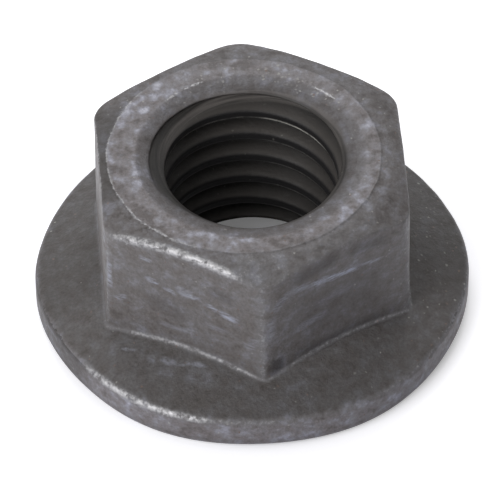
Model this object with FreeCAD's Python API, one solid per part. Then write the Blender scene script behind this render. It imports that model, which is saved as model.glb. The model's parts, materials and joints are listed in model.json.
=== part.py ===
import FreeCAD, Part
import math
import os

# Exhaust manifold nut: a hexagon nut with a wide conical flange, forged as one piece and tapped right through.
# Millimetres. Z runs up the thread's axis from the bearing face, and X runs across two of the flats.

# Thread: right-handed and coarse, with flanks at 60 degrees to each other. Before it is tapped, the hole is
# drilled to the thread's diameter less its pitch. The start is where the groove's middle leaves the bearing
# face, as an angle about Z, and each groove is cut from a little inside the hole's wall
thread_diameter = 10.0
thread_pitch = 1.5
thread_start_deg = 72.0
flank_angle_deg = 30.0
groove_overcut = 0.25

# Hexagon
across_flats = 15.0
nut_height = 9.7
hex_corner_rounding = 1.2
hex_root_fillet = 0.4

# Flange: it stands out past the flats, with a short upright rim and a cone that climbs from it to the hexagon
flange_width = 3.2
rim_height = 1.85
flange_slope_deg = 23.5
rim_top_rounding = 0.6
rim_foot_chamfer = 0.35

# Crown: a flat ring on top that rolls over into a shallow chamfer, which cuts each flat's top edge to an arch
crown_inset = 0.2
crown_slope_deg = 27.0
crown_blend = 2.5

# Lead-ins: a pressed dish over a countersink at the top, and a plain countersink in the bearing face
dish_over_thread = 1.4
dish_slope_deg = 16.0
mouth_under_thread = 0.5
mouth_edge_rounding = 0.35
countersink_over_thread = 0.7
countersink_slope_deg = 45.0

# Cutting solids run this far past the faces that they cut
overrun = 2.0

origin = FreeCAD.Vector(0, 0, 0)
axis = FreeCAD.Vector(0, 0, 1)
hole_radius = (thread_diameter - thread_pitch) / 2
thread_radius = thread_diameter / 2
flat_radius = across_flats / 2
corner_radius = flat_radius / math.cos(math.radians(30))
flange_radius = flat_radius + flange_width


def rise(run, slope_deg):
    """Height gained over a horizontal run on a slope."""
    return run * math.tan(math.radians(slope_deg))


def rounded_section(corners):
    """A face in the XZ plane with straight sides, from (radius, height, rounding) corners in order."""
    points = [FreeCAD.Vector(x, 0, z) for x, z, _ in corners]
    edges = []
    ends = []
    for i, (_, _, rounding) in enumerate(corners):
        corner = points[i]
        if rounding == 0:
            ends.append((corner, corner))
            continue
        back = (points[i - 1] - corner).normalize()
        ahead = (points[(i + 1) % len(points)] - corner).normalize()
        half_angle = back.getAngle(ahead) / 2
        start = corner + back * (rounding / math.tan(half_angle))
        end = corner + ahead * (rounding / math.tan(half_angle))
        bisector = (back + ahead).normalize()
        middle = corner + bisector * (rounding / math.sin(half_angle) - rounding)
        edges.append(Part.Arc(start, middle, end).toShape())
        ends.append((start, end))
    for i, (start, _) in enumerate(ends):
        edges.append(Part.LineSegment(ends[i - 1][1], start).toShape())
    return Part.Face(Part.Wire(Part.__sortEdges__(edges)))


def flange():
    """The round flange: bearing face, rim and the cone above it, which ends inside the hexagon."""
    section = rounded_section([
        (0, 0, 0),
        (flange_radius - rim_foot_chamfer, 0, 0),
        (flange_radius, rim_foot_chamfer, 0),
        (flange_radius, rim_height, rim_top_rounding),
        (0, rim_height + rise(flange_radius, flange_slope_deg), 0),
    ])
    return section.revolve(origin, axis, 360)


def hexagon():
    """Six flats with rounded corners, cut to the crown at the top."""
    ring = []
    for i in range(7):
        angle = math.radians(30 + 60 * i)
        ring.append(FreeCAD.Vector(corner_radius * math.cos(angle), corner_radius * math.sin(angle), 0))
    prism = Part.Face(Part.makePolygon(ring)).extrude(axis * (nut_height + overrun))
    upright = [edge for edge in prism.Edges if abs(edge.Vertexes[0].Z - edge.Vertexes[1].Z) > nut_height]
    prism = prism.makeFillet(hex_corner_rounding, upright)
    crown_radius = flat_radius - crown_inset
    reach = corner_radius + overrun
    crown = rounded_section([
        (0, 0, 0),
        (reach, 0, 0),
        (reach, nut_height - rise(reach - crown_radius, crown_slope_deg), 0),
        (crown_radius, nut_height, crown_blend),
        (0, nut_height, 0),
    ]).revolve(origin, axis, 360)
    return prism.common(crown)


def blank():
    """The forging before it is drilled, with a fillet where the hexagon's sides rise from the flange."""
    body = flange().fuse(hexagon())
    slack = 0.01
    foot = []
    for edge in body.Edges:
        radii = [math.hypot(vertex.X, vertex.Y) for vertex in edge.Vertexes]
        on_side = min(radii) > flat_radius - slack and max(radii) < corner_radius + slack
        if on_side and max(vertex.Z for vertex in edge.Vertexes) < nut_height / 2:
            foot.append(edge)
    return body.makeFillet(hex_root_fillet, foot)


def bore_quarters():
    """The hole with its lead-ins, as four quarter turns that are cut away one after the other."""
    dish_radius = thread_radius + dish_over_thread / 2
    mouth_radius = thread_radius - mouth_under_thread / 2
    mouth_height = nut_height - rise(dish_radius - mouth_radius, dish_slope_deg)
    sink_radius = thread_radius + countersink_over_thread / 2
    section = rounded_section([
        (0, -overrun, 0),
        (sink_radius, -overrun, 0),
        (sink_radius, 0, 0),
        (hole_radius, rise(sink_radius - hole_radius, countersink_slope_deg), 0),
        (hole_radius, mouth_height - rise(mouth_radius - hole_radius, countersink_slope_deg), 0),
        (mouth_radius, mouth_height, mouth_edge_rounding),
        (dish_radius, nut_height, 0),
        (dish_radius, nut_height + overrun, 0),
        (0, nut_height + overrun, 0),
    ])
    quarters = []
    for i in range(4):
        turned = section.copy()
        turned.rotate(origin, axis, 90 * i)
        quarters.append(turned.revolve(origin, axis, 90))
    return quarters


def groove_turn():
    """One turn of the thread's groove, up a right-hand helix that starts at the bearing face's height."""
    root = thread_pitch / 16
    inner_radius = hole_radius - groove_overcut
    mouth = root + rise(thread_radius - inner_radius, flank_angle_deg)
    profile = Part.makePolygon([
        FreeCAD.Vector(inner_radius, 0, -mouth),
        FreeCAD.Vector(thread_radius, 0, -root),
        FreeCAD.Vector(thread_radius, 0, root),
        FreeCAD.Vector(inner_radius, 0, mouth),
        FreeCAD.Vector(inner_radius, 0, -mouth),
    ])
    path = Part.Wire(Part.makeHelix(thread_pitch, thread_pitch, thread_radius).Edges)
    turn = path.makePipeShell([profile], True, True)
    turn.rotate(origin, axis, thread_start_deg)
    return turn


def flange_nut():
    """The finished nut: the forging, drilled and led in, then tapped turn by turn from below to above."""
    body = blank()
    for quarter in bore_quarters():
        body = body.cut(quarter)
    turn = groove_turn()
    turn.translate(axis * -thread_pitch)
    for _ in range(math.ceil(nut_height / thread_pitch) + 2):
        body = body.cut(turn)
        turn.translate(axis * thread_pitch)
    return body.Solids[0]


os.makedirs("parts", exist_ok=True)
nut = flange_nut()
nut.exportStep("parts/flange_nut.step")
print("flange_nut", nut.ShapeType, nut.isValid(), round(nut.Volume, 2), "mm3")
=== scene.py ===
import bpy
import json
import math
from mathutils import Matrix, Vector
from types import SimpleNamespace


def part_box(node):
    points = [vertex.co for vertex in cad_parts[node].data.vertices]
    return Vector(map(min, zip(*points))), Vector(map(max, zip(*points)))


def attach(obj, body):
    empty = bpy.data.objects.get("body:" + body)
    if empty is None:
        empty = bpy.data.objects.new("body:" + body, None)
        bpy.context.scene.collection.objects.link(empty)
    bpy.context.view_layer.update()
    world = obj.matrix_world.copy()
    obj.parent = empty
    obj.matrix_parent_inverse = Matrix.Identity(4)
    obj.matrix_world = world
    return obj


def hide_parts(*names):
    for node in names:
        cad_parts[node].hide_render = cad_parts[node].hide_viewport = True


# Exhaust manifold nut: a forged and tapped hexagon nut with a wide conical flange, in phosphated and oiled
# steel. Metres. Z runs up the thread's axis from the bearing face, and X runs across two of the flats.

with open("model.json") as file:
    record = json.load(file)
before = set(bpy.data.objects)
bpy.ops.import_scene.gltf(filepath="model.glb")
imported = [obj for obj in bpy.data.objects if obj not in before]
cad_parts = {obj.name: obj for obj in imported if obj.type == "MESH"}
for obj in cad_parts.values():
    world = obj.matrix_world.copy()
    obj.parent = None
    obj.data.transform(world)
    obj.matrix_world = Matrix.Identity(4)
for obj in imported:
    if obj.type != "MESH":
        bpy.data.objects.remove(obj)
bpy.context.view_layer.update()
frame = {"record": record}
_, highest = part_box("flange_nut")
thread_mount = next(mount for mount in frame["record"]["mounts"] if mount["name"] == "thread")

mm = 0.001
degree = math.pi / 180
whole_turn = 2 * math.pi

# Sizes of the nut. The crown lies a little off the thread's axis, and so does its pad, a flat ring that is
# raised by a step
sizes = {
    "Height": highest.z,
    "Flange Radius": highest.x,
    "Hole Radius": thread_mount["dims"]["r_mm"] * mm,
    "Across Flats": 15.0 * mm,
    "Top Corner Rounding": 1.4 * mm,
    "Foot Corner Rounding": 0.45 * mm,
    "Rim Height": 1.85 * mm,
    "Flange Slope": 23.5 * degree,
    "Flange Swell": 0.068 * mm,
    "Crown Radius": 7.36 * mm,
    "Crown Slope": 27.0 * degree,
    "Crown Blend": 0.44 * mm,
    "Crown Offset": 0.33 * mm,
    "Crown Direction": 150.0 * degree,
    "Pad Radius": 6.72 * mm,
    "Pad Offset": 0.36 * mm,
    "Pad Direction": 170.0 * degree,
    "Pad Waver": 0.3 * mm,
    "Pad Step": 0.035 * mm,
    "Pad Edge Width": 0.12 * mm,
    "Dish Edge Rounding": 0.5 * mm,
    "Pad Edge Rounding": 0.3 * mm,
    "Arch Edge Rounding": 0.2 * mm,
    "Foot Fillet": 0.26 * mm,
    "Rim Top Rounding": 0.42 * mm,
    "Rim Foot Rounding": 0.62 * mm,
    "Dish Radius": 5.7 * mm,
    "Dish Slope": 16.0 * degree,
    "Mouth Radius": 4.75 * mm,
    "Mouth Rounding": 0.3 * mm,
    "Countersink Radius": 5.35 * mm,
    "Thread Radius": 5.0 * mm,
    "Thread Pitch": 1.5 * mm,
    "Thread Start": 72.0 * degree,
    "Thread Rounding": 0.1 * mm,
    "Forging Waves": 0.022 * mm,
    "Edge Dents": 0.02 * mm,
    "Edge Dent Reach": 0.3 * mm,
}
flats = 6
half_flat = 30 * degree
flank_angle = 30 * degree
root_share = 1 / 16
pad_waver_scale = 4.0
waves_full_height = 1.0 * mm
seed = 4.0

# Places along the outer profile. Whole numbers lie half-way between two of its corners, and the bore has a
# place below 0
dish_edge, pad_edge, chamfer, arch_edge = 0.5, 1.5, 2.0, 2.5
upright_edge, foot_edge, flange_top, rim_edge, rim_side = 3.0, 3.5, 4.0, 4.5, 5.0
profile_corners = 6
dish_place = 0.05
bore_place = -1.0

# How pale the coat is at places along the profile, in red and green and then in blue, and how cloudy it is.
# The paleness dips towards the hexagon's foot as painted shade, and the rim is paler as painted light from
# the table
coat_paleness = [(0.05, 0.7, 0.73), (0.3, 1.0, 1.05), (0.5, 1.24, 1.31), (0.8, 1.37, 1.45), (1.4, 1.37, 1.45),
                 (1.6, 0.79, 0.82), (2.2, 0.86, 0.88), (2.4, 0.98, 1.0), (2.6, 1.14, 1.13), (3.2, 1.05, 1.05),
                 (3.5, 0.85, 0.87), (3.7, 0.68, 0.68), (4.3, 0.7, 0.7), (4.45, 1.0, 1.03), (4.65, 1.35, 1.41),
                 (5.1, 1.5, 1.6), (5.5, 1.1, 1.16), (5.7, 0.6, 0.61)]
coat_cloudiness = [(0.1, 0.6), (0.7, 1.0), (1.5, 1.0), (2.0, 0.7), (2.6, 0.5), (3.4, 0.5), (3.8, 0.4),
                   (4.3, 0.4), (4.6, 0.7), (5.5, 0.7)]

# The coat's colour from between the clouds of crystal to the thick of one, before the paleness changes it
coat_colours = [(0.08, "#5f5a57"), (0.3, "#75706e"), (0.51, "#7f7c7c"), (0.68, "#929197"), (0.82, "#a4a4aa"),
                (0.97, "#b8b8be")]

# How wide the features of each pattern are. The grain and the tool marks are finer on the real nut, and are
# drawn as coarse as they need to be to show
pattern_widths = {
    "forging_waves": 2.4 * mm,
    "dents": 0.7 * mm,
    "clouds": 0.62 * mm,
    "wide_clouds": 2.6 * mm,
    "grain": 0.14 * mm,
    "patches": 0.4 * mm,
    "hairlines": 0.5 * mm,
    "smears": 0.5 * mm,
    "specks": 0.2 * mm,
    "tool_marks": 0.09 * mm,
}
mark_waver = 0.3 * mm
edge_raggedness = 0.14 * mm
grain_depth = 0.02 * mm
patch_depth = 0.1 * mm
flat_slack = 0.2 * mm

# Places in the bore: the burr with its painted glint, as a height above the middle of its groove, the azimuth
# at which the painted glint is strongest, and the heights between which the thread gives way to the lead-in
burr_glint_height = 0.56 * mm
glint_azimuth = 53 * degree
lead_in_foot, lead_in_full = 8.75 * mm, 8.9 * mm

# Edges that rubbed against other nuts, and faces that are paler, each as its place along the profile, the
# reach of the wear in mm, the azimuth of its middle and half its width in degrees, and how far it is worn
worn_edges = [
    (arch_edge, 0.55, -123, 31, 1.0),
    (arch_edge, 0.1, 172, 30, 0.7),
    (arch_edge, 0.2, 78, 22, 0.85),
    (arch_edge, 0.16, 0, 200, 0.35),
    (rim_edge, 0.42, -125, 25, 0.95),
    (rim_edge, 0.26, -98, 16, 0.5),
    (rim_edge, 0.25, 60, 25, 0.9),
    (rim_edge, 0.25, -30, 40, 0.45),
    (rim_edge, 0.2, 0, 200, 0.35),
    (pad_edge, 0.1, -172, 75, 0.75),
    (pad_edge, 0.06, 0, 200, 0.3),
    (dish_edge, 0.08, 122, 15, 0.9),
    (dish_edge, 0.08, 46, 9, 1.0),
    (foot_edge, 0.32, -118, 32, 0.6),
    (foot_edge, 0.24, 0, 200, 0.5),
    (chamfer, 4.0, -90, 13, 0.28),
    (chamfer, 4.0, -58, 26, 0.18),
    (dish_edge, 4.0, 80, 60, 0.16),
    (dish_edge, 4.0, -5, 45, 0.15),
    (pad_edge, 4.0, 80, 60, 0.14),
    (rim_side, 4.0, -48, 25, 0.14),
]

# Edges with a dark crack or a line of dirt, and faces that are darker, given alike
dark_edges = [
    (rim_edge, 0.1, -163, 10, 0.8),
    (rim_edge, 0.08, -20, 12, 0.6),
    (chamfer, 4.0, 175, 32, 0.65),
    (pad_edge, 0.12, -50, 30, 0.18),
    (flange_top, 9.0, 32, 62, 0.58),
    (flange_top, 9.0, 160, 45, 0.4),
    (rim_side, 9.0, -172, 35, 0.7),
    (rim_side, 9.0, 5, 35, 0.25),
]

# Worn stretches of the hexagon's upright corners, given alike. The one at -150 degrees is a painted highlight
# on that rounded corner
worn_and_highlit_corners = [
    (upright_edge, 0.22, -150, 7, 0.45),
    (upright_edge, 0.7, -93, 4, 0.4),
    (upright_edge, 0.5, -33, 5, 0.4),
    (upright_edge, 0.3, 60, 40, 0.3),
    (upright_edge, 0.3, 150, 20, 0.3),
]

# Scratches on the flats, each as the flat's azimuth, the start and the end as distances in mm along the flat
# and up from the bearing face, half the width in mm, and how bright it is
scratches = [
    (-60, (-2.9, 8.1), (-1.3, 7.85), 0.3, 0.6),
    (-60, (-1.9, 7.95), (0.2, 7.62), 0.28, 1.0),
    (-60, (-0.5, 7.7), (1.4, 7.52), 0.24, 1.0),
    (-60, (0.9, 7.6), (2.8, 7.3), 0.14, 0.6),
    (-60, (-3.9, 7.2), (-2.7, 8.2), 0.3, 0.45),
    (-60, (-4.1, 5.0), (-3.9, 7.0), 0.35, 0.3),
    (-60, (-2.9, 5.2), (-0.4, 5.5), 0.35, 0.3),
    (-60, (-1.6, 6.3), (1.2, 6.5), 0.4, 0.18),
    (-120, (-2.2, 7.2), (-1.35, 7.05), 0.2, 0.7),
    (-120, (-1.2, 7.0), (-0.4, 6.6), 0.2, 0.5),
    (-120, (-0.5, 6.9), (1.0, 6.9), 0.2, 0.6),
    (-120, (1.1, 6.75), (1.9, 6.45), 0.2, 0.7),
    (-120, (1.8, 6.5), (3.0, 6.2), 0.28, 0.8),
    (-120, (-2.5, 8.5), (-1.7, 8.4), 0.16, 0.7),
    (-120, (-4.1, 5.4), (-4.15, 7.6), 0.22, 0.6),
    (-120, (-3.9, 4.95), (-3.1, 5.4), 0.2, 0.6),
    (-120, (3.4, 4.4), (3.9, 5.6), 0.35, 0.3),
    (-120, (-1.6, 4.3), (0.6, 4.4), 0.25, 0.25),
    (-120, (0.9, 5.4), (2.4, 5.2), 0.25, 0.25),
    (180, (-1.2, 7.1), (1.3, 6.5), 0.1, 0.5),
    (120, (-2.6, 5.2), (-0.2, 5.7), 0.12, 0.45),
    (120, (0.4, 7.6), (2.2, 7.4), 0.1, 0.6),
    (60, (-1.8, 6.3), (0.9, 5.8), 0.12, 0.6),
    (0, (-0.6, 7.4), (2.4, 6.9), 0.1, 0.5),
    (0, (-3.0, 4.8), (-1.4, 5.0), 0.14, 0.35),
]

# Dark marks on the flats, given alike: stains, painted shade low on the flat at -60 degrees, and wider
# darkening over most of some flats
stains_and_painted_shade = [
    # The first two, low on the flat at -60 degrees just above its foot crease and at the front corner's foot,
    # are painted shade
    (-60, (-3.75, 3.0), (-3.5, 4.0), 0.55, 0.8),
    (-60, (-3.2, 3.4), (3.8, 3.1), 0.8, 0.6),
    (-60, (-3.0, 8.6), (0.4, 9.0), 0.6, 0.6),
    (-60, (0.2, 9.0), (3.3, 8.4), 0.6, 0.5),
    (-60, (-3.2, 6.0), (3.4, 5.6), 2.6, 0.35),
    (-120, (-2.3, 5.9), (0.3, 5.2), 0.8, 0.3),
    (-120, (1.2, 7.8), (2.8, 7.5), 0.5, 0.35),
    (180, (-2.0, 6.0), (2.0, 6.4), 2.5, 0.3),
    (120, (-1.5, 4.2), (1.4, 4.6), 0.8, 0.35),
    (0, (0.5, 5.2), (2.5, 5.6), 0.7, 0.35),
]

# Scrapes on the flange, each as its start and end in mm along X and Y, half its width in mm, and how bright
# it is
scrapes = [
    ((-6.9, -5.75), (-6.0, -6.15), 0.1, 0.4),
    ((-5.7, -6.65), (-5.2, -6.85), 0.25, 0.22),
    ((-5.1, -6.85), (-4.1, -7.3), 0.22, 0.4),
    ((-4.4, -7.2), (-2.6, -7.65), 0.16, 0.36),
    ((-5.2, -7.5), (-4.3, -7.75), 0.3, 0.22),
    ((-3.9, -7.9), (-2.4, -8.4), 0.5, 0.18),
]

# Mesh of the nut: columns round it, rows for each corner of its outer profile, and rows up its bore. The
# profile turns between arc_start and arc_end of a corner's rows. The rows of the bore follow the thread, but
# those in its two ends are level. Where the level rows stop is given in pitches up from the bearing face
columns = 360
column_crowding = 0.5
corner_rows = 21
row_crowding = 1.6
arc_start, arc_end = 1 / 3, 2 / 3
place_slack = 0.001
pitch_rows = 16
bottom_rows = 14
top_rows = 22
bottom_end = 0.8
top_end = 5.8
outer_rows = profile_corners * corner_rows
helix_rows = round((top_end - bottom_end + 1) * pitch_rows)
bore_rows = bottom_rows + helix_rows + top_rows
least_setback = 0.06 * mm
tangent_step = 0.15 * mm
seam_gap = 0.15 * mm
mouth_blend = 0.15 * mm
merge_distance = 0.002 * mm

# Camera: its turn is how far it stands clockwise, seen from above, from the nut's front corner
camera_elevation = 45.476 * degree
camera_turn = 3.849 * degree
camera_roll = -0.529 * degree
camera_distance = 382.2 * mm
camera_lens = 559.1
camera_sensor = 36.0
camera_target = Vector((-0.097, -1.879, 5.0)) * mm

# Light: soft boxes by azimuth about Z, elevation and power in watts, and a fill from all round
soft_box_width = 0.3
soft_box_distance = 0.5
soft_boxes = {
    "back_soft_box": (90 * degree, 52 * degree, 1.0),
    "left_front_soft_box": (-137 * degree, 38 * degree, 1.24),
}
fill_strength = 0.04

# Table: its size, and how strongly it glows to the camera, by distance in mm from a point near the nut's
# axis. The glow falls off near the rim, which paints a soft shadow there, a little wider on the +X side as
# the point lies off the axis, and the faint glow under the nut is painted light seen through the bore
table_size = 3.0
table_glow = [(0.0, 0.13), (5.5, 0.13), (7.0, 0.0), (10.2, 0.3), (10.7, 0.62), (11.0, 0.7), (11.6, 0.76),
              (12.4, 0.9), (13.4, 0.99)]
table_glow_end = 14.0
table_glow_centre = Vector((0.2, 0.1, 0.0)) * mm


def first(node):
    """The output that a node is used for: its first enabled one."""
    return next(socket for socket in node.outputs if socket.enabled)


def add(tree, kind, inputs=(), **settings):
    """Adds a node with its settings. An input takes a value, a socket, or a node for its first output."""
    node = tree.nodes.new(kind)
    for name, value in settings.items():
        setattr(node, name, value)
    for key, source in inputs.items() if isinstance(inputs, dict) else enumerate(inputs):
        usable = [socket for socket in node.inputs if socket.enabled]
        target = usable[key] if isinstance(key, int) else next(s for s in usable if s.name == key)
        if isinstance(source, bpy.types.Node):
            source = first(source)
        if isinstance(source, bpy.types.NodeSocket):
            tree.links.new(source, target)
        else:
            target.default_value = source
    return node


def new_group(kind, name, inputs, outputs):
    """An empty node group with named inputs and outputs. Gives the tree, its inputs and its output node."""
    tree = bpy.data.node_groups.new(name, kind)
    for label, socket_kind in inputs.items():
        tree.interface.new_socket(label, in_out="INPUT", socket_type=f"NodeSocket{socket_kind}")
    for label, socket_kind in outputs.items():
        tree.interface.new_socket(label, in_out="OUTPUT", socket_type=f"NodeSocket{socket_kind}")
    return tree, add(tree, "NodeGroupInput").outputs, add(tree, "NodeGroupOutput")


def set_stops(ramp, stops):
    """Gives a colour ramp its stops, as positions and colours, in place of the two that it comes with."""
    elements = ramp.color_ramp.elements
    for position, colour in stops:
        elements.new(position).color = colour
    elements.remove(elements[0])
    elements.remove(elements[-1])


def hexagon_side_group():
    """Radius of the hexagon's side at an angle about Z: straight flats that run into round corners."""
    tree, given, result = new_group(
        "GeometryNodeTree", "hexagon_side",
        {"Angle": "Float", "Across Flats": "Float", "Corner Rounding": "Float"},
        {"Radius": "Float", "From Corner": "Float"})
    apothem = add(tree, "ShaderNodeMath", [given["Across Flats"], 0.5], operation="MULTIPLY")
    from_flat = add(tree, "ShaderNodeMath", [given["Angle"], half_flat], operation="PINGPONG")
    from_corner = add(tree, "ShaderNodeMath", [half_flat, from_flat], operation="SUBTRACT")
    flat_radius = add(tree, "ShaderNodeMath", [from_flat], operation="COSINE")
    flat_radius = add(tree, "ShaderNodeMath", [apothem, flat_radius], operation="DIVIDE")
    inner_apothem = add(tree, "ShaderNodeMath", [apothem, given["Corner Rounding"]], operation="SUBTRACT")
    centre = add(tree, "ShaderNodeMath", [inner_apothem, math.cos(half_flat)], operation="DIVIDE")
    along = add(tree, "ShaderNodeMath", [from_corner], operation="COSINE")
    across = add(tree, "ShaderNodeMath", [from_corner], operation="SINE")
    across = add(tree, "ShaderNodeMath", [across, centre], operation="MULTIPLY")
    across = add(tree, "ShaderNodeMath", [across, across], operation="MULTIPLY")
    reach = add(tree, "ShaderNodeMath", [given["Corner Rounding"], 2.0], operation="POWER")
    reach = add(tree, "ShaderNodeMath", [reach, across], operation="SUBTRACT")
    reach = add(tree, "ShaderNodeMath", [reach], operation="SQRT")
    corner_radius = add(tree, "ShaderNodeMath", [centre, along, reach], operation="MULTIPLY_ADD")
    flat_end = add(tree, "ShaderNodeMath", [inner_apothem, math.tan(half_flat)], operation="MULTIPLY")
    flat_end = add(tree, "ShaderNodeMath", [flat_end, apothem], operation="ARCTAN2")
    in_corner = add(tree, "ShaderNodeMath", [from_flat, flat_end], operation="GREATER_THAN")
    radius = add(tree, "GeometryNodeSwitch", [in_corner, flat_radius, corner_radius], input_type="FLOAT")
    away = add(tree, "ShaderNodeMath", [from_corner, radius], operation="MULTIPLY")
    tree.links.new(first(radius), result.inputs["Radius"])
    tree.links.new(first(away), result.inputs["From Corner"])
    return tree


def cone_height_group():
    """Height at a radius on a cone, which falls outwards from a known circle at a slope."""
    tree, given, result = new_group(
        "GeometryNodeTree", "cone_height",
        {"Radius": "Float", "Circle Radius": "Float", "Circle Height": "Float", "Slope": "Float"},
        {"Height": "Float"})
    run = add(tree, "ShaderNodeMath", [given["Circle Radius"], given["Radius"]], operation="SUBTRACT")
    steepness = add(tree, "ShaderNodeMath", [given["Slope"]], operation="TANGENT")
    height = add(tree, "ShaderNodeMath", [run, steepness, given["Circle Height"]], operation="MULTIPLY_ADD")
    tree.links.new(first(height), result.inputs["Height"])
    return tree


def crown_height_group():
    """Height of the crown at a radius: a flat top that steps down off its pad and rolls over into a cone."""
    names = ("Radius", "Height", "Crown Radius", "Crown Slope", "Crown Blend", "Pad Radius", "Pad Step",
             "Pad Edge Width")
    tree, given, result = new_group(
        "GeometryNodeTree", "crown_height", {name: "Float" for name in names}, {"Height": "Float"})
    past = add(tree, "ShaderNodeMath", [given["Radius"], given["Crown Radius"]], operation="SUBTRACT")
    steepness = add(tree, "ShaderNodeMath", [given["Crown Slope"]], operation="TANGENT")
    drop = add(tree, "ShaderNodeMath", [past, steepness], operation="MULTIPLY")
    drop = add(tree, "ShaderNodeMath", [drop, 0.0, given["Crown Blend"]], operation="SMOOTH_MAX")
    step_end = add(tree, "ShaderNodeMath", [given["Pad Radius"], given["Pad Edge Width"]], operation="ADD")
    step = add(tree, "ShaderNodeMapRange", {"Value": given["Radius"], "From Min": given["Pad Radius"],
                                            "From Max": step_end, "To Max": given["Pad Step"]},
               interpolation_type="SMOOTHSTEP")
    drop = add(tree, "ShaderNodeMath", [drop, step], operation="ADD")
    height = add(tree, "ShaderNodeMath", [given["Height"], drop], operation="SUBTRACT")
    tree.links.new(first(height), result.inputs["Height"])
    return tree


def rounded_corner_group():
    """A point on the way round one corner of a profile, from the middle of one side to that of the next.

    Way runs from 0 to 1. It follows the first side up to arc_start, with rows closer near the corner, then an
    arc, and the second side from arc_end on. From Corner is the distance over the surface from the middle of
    the arc.
    """
    tree, given, result = new_group(
        "GeometryNodeTree", "rounded_corner",
        {"Before": "Vector", "Corner": "Vector", "After": "Vector", "Rounding": "Float", "Way": "Float"},
        {"Point": "Vector", "From Corner": "Float"})
    directions = []
    halves = []
    for end in ("Before", "After"):
        side = add(tree, "ShaderNodeVectorMath", [given[end], given["Corner"]], operation="SUBTRACT")
        directions.append(add(tree, "ShaderNodeVectorMath", [side], operation="NORMALIZE"))
        length = add(tree, "ShaderNodeVectorMath", [side], operation="LENGTH")
        halves.append(add(tree, "ShaderNodeMath", [length, 0.5], operation="MULTIPLY"))
    cosine = add(tree, "ShaderNodeVectorMath", directions, operation="DOT_PRODUCT")
    more = add(tree, "ShaderNodeMath", [1.0, cosine], operation="ADD")
    less = add(tree, "ShaderNodeMath", [1.0, cosine], operation="SUBTRACT")
    setback = add(tree, "ShaderNodeMath", [more, less], operation="DIVIDE")
    setback = add(tree, "ShaderNodeMath", [setback], operation="SQRT")
    setback = add(tree, "ShaderNodeMath", [setback, given["Rounding"]], operation="MULTIPLY")
    setback = add(tree, "ShaderNodeMath", [setback, least_setback], operation="MAXIMUM")
    for half in halves:
        setback = add(tree, "ShaderNodeMath", [setback, half], operation="MINIMUM")
    turn = add(tree, "ShaderNodeMapRange", {"Value": given["Way"], "From Min": arc_start,
                                            "From Max": arc_end})
    left = add(tree, "ShaderNodeMath", [1.0, turn], operation="SUBTRACT")
    weight = add(tree, "ShaderNodeMath", [less, 2.0], operation="MULTIPLY")
    weight = add(tree, "ShaderNodeMath", [weight], operation="SQRT")
    middle = add(tree, "ShaderNodeMath", [turn, left], operation="MULTIPLY")
    middle = add(tree, "ShaderNodeMath", [middle, weight], operation="MULTIPLY")
    squares = [add(tree, "ShaderNodeMath", [part, part], operation="MULTIPLY") for part in (left, turn)]
    total = add(tree, "ShaderNodeMath", squares, operation="ADD")
    total = add(tree, "ShaderNodeMath", [total, middle], operation="ADD")
    point = given["Corner"]
    off_middle = add(tree, "ShaderNodeMath", [turn, 0.5], operation="SUBTRACT")
    off_middle = add(tree, "ShaderNodeMath", [off_middle], operation="ABSOLUTE")
    away = add(tree, "ShaderNodeMath", [setback, 2.0], operation="MULTIPLY")
    away = add(tree, "ShaderNodeMath", [away, off_middle], operation="MULTIPLY")
    for direction, half, square, start, end in zip(directions, halves, squares, (arc_start, arc_end), (0, 1)):
        run = add(tree, "ShaderNodeMapRange", {"Value": given["Way"], "From Min": start, "From Max": end})
        run = add(tree, "ShaderNodeMath", [run, row_crowding], operation="POWER")
        straight = add(tree, "ShaderNodeMath", [half, setback], operation="SUBTRACT")
        run = add(tree, "ShaderNodeMath", [run, straight], operation="MULTIPLY")
        away = add(tree, "ShaderNodeMath", [away, run], operation="ADD")
        bent = add(tree, "ShaderNodeMath", [square, total], operation="DIVIDE")
        step = add(tree, "ShaderNodeMath", [bent, setback, run], operation="MULTIPLY_ADD")
        point = add(tree, "ShaderNodeVectorMath", [direction, step, point], operation="MULTIPLY_ADD")
    tree.links.new(first(point), result.inputs["Point"])
    tree.links.new(first(away), result.inputs["From Corner"])
    return tree


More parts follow.
